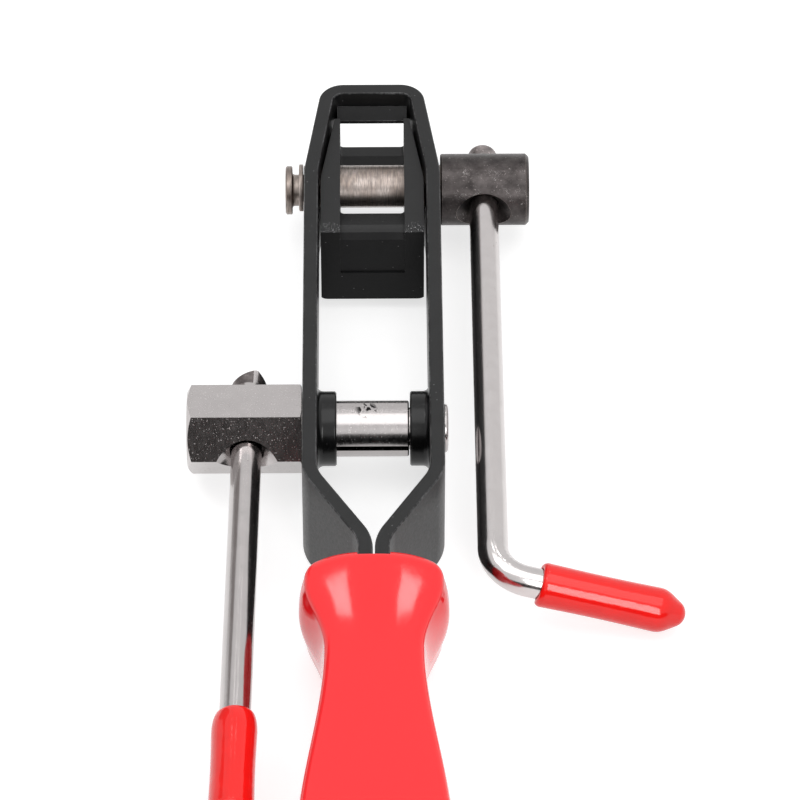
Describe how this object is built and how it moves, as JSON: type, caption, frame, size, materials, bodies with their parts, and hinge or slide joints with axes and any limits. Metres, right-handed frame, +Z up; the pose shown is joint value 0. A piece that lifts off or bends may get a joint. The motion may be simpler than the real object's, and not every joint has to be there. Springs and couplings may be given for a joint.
{
  "type": "banding tool for ear clamps",
  "caption": "Hand tool that winds a boot clamp band onto a slotted shaft and shears it with a crank-driven cutter; bent strip frame on a moulded handle.",
  "frame": {"origin": "middle of the bounding box, at the surface that the tool lies on", "axes": "+Y along the tool from the handle to the nose, +Z up out of the lying tool, +X to the side of the bent crank"},
  "size_m": [0.1044, 0.242, 0.027],
  "materials": {
    "black_oxide": "satin black coating on steel",
    "nickel_plate": "bright nickel plate on steel",
    "worn_steel": "turned steel, blackened and rubbed bright in places",
    "red_moulding": "glossy red moulded plastic",
    "red_dip": "glossy red dipped vinyl"
  },
  "bodies": {
    "body": {"frame": "black_oxide", "handle_grip": "red_moulding"},
    "winder": {"winding_shaft": "nickel_plate"},
    "winding_crank": {"winding_crank_rod": "nickel_plate", "winding_crank_cap": "red_dip"},
    "cutter": {"cutter_shaft": "worn_steel", "cutter_shaft_clip": "worn_steel", "cutter_yoke": "black_oxide", "cutter_blade": "black_oxide", "cutter_crank_rod": "nickel_plate", "cutter_crank_cap": "red_dip"}
  },
  "joints": [
    {"name": "winding_turn", "type": "hinge", "parent": "body", "child": "winder", "pos_m": [-0.01258, 0.025, 0.013], "axis": [1, 0, 0], "continuous": true},
    {"name": "winding_rod_slide", "type": "slide", "parent": "winder", "child": "winding_crank", "axis": [0.0175, 0.9998, 0], "range_m": [-0.002, 0.072]},
    {"name": "cutter_turn", "type": "hinge", "parent": "body", "child": "cutter", "pos_m": [-0.01258, 0.1, 0.013], "axis": [1, 0, 0], "range_deg": [-15, 15]}
  ]
}
